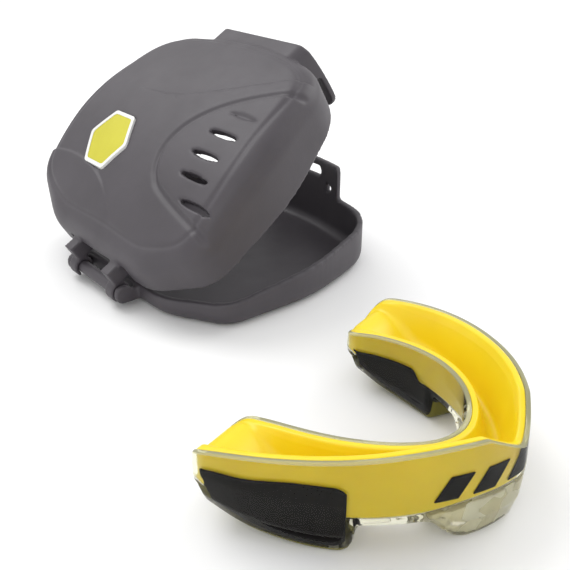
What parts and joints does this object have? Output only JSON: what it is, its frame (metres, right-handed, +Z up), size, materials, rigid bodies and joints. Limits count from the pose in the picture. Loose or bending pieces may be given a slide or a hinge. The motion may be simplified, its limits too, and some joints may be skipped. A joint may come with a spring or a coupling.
{
  "type": "mouthguard with case",
  "caption": "Boil-and-bite sports mouthguard with a clear shell, gel liner and molar pads, standing beside its open vented clamshell case.",
  "frame": {"origin": "middle of the case tray's underside", "axes": "+X along the case's hinge bar, +Y from the hinge to the latch, +Z up"},
  "size_m": [0.1532, 0.0962, 0.0561],
  "materials": {
    "case_plastic": "fine moulded texture, charcoal",
    "badge_white": "gloss",
    "badge_yellow": "gloss",
    "clear_shell": "clear soft polymer, glossy",
    "gel": "satin gel",
    "black_rubber": "matt",
    "clear_bumper": "translucent, faceted",
    "black_print": "matt"
  },
  "bodies": {
    "case_base": {"case_base": "case_plastic"},
    "case_lid": {"case_lid": "case_plastic", "badge_rim": "badge_white", "badge_face": "badge_yellow"},
    "mouthguard": {"outer_shell": "clear_shell", "gel_liner": "gel", "left_molar_pad": "black_rubber", "right_molar_pad": "black_rubber", "front_bumper": "clear_bumper", "front_marking": "black_print"}
  },
  "joints": [
    {"name": "lid_hinge", "type": "hinge", "parent": "case_base", "child": "case_lid", "pos_m": [0, -0.0364, 0.004], "axis": [1, 0, 0], "range_deg": [-30, 90]},
    {"name": "mouthguard_lift", "type": "slide", "parent": "case_base", "child": "mouthguard", "axis": [0, 0, 1], "range_m": [0, 0.08]}
  ]
}
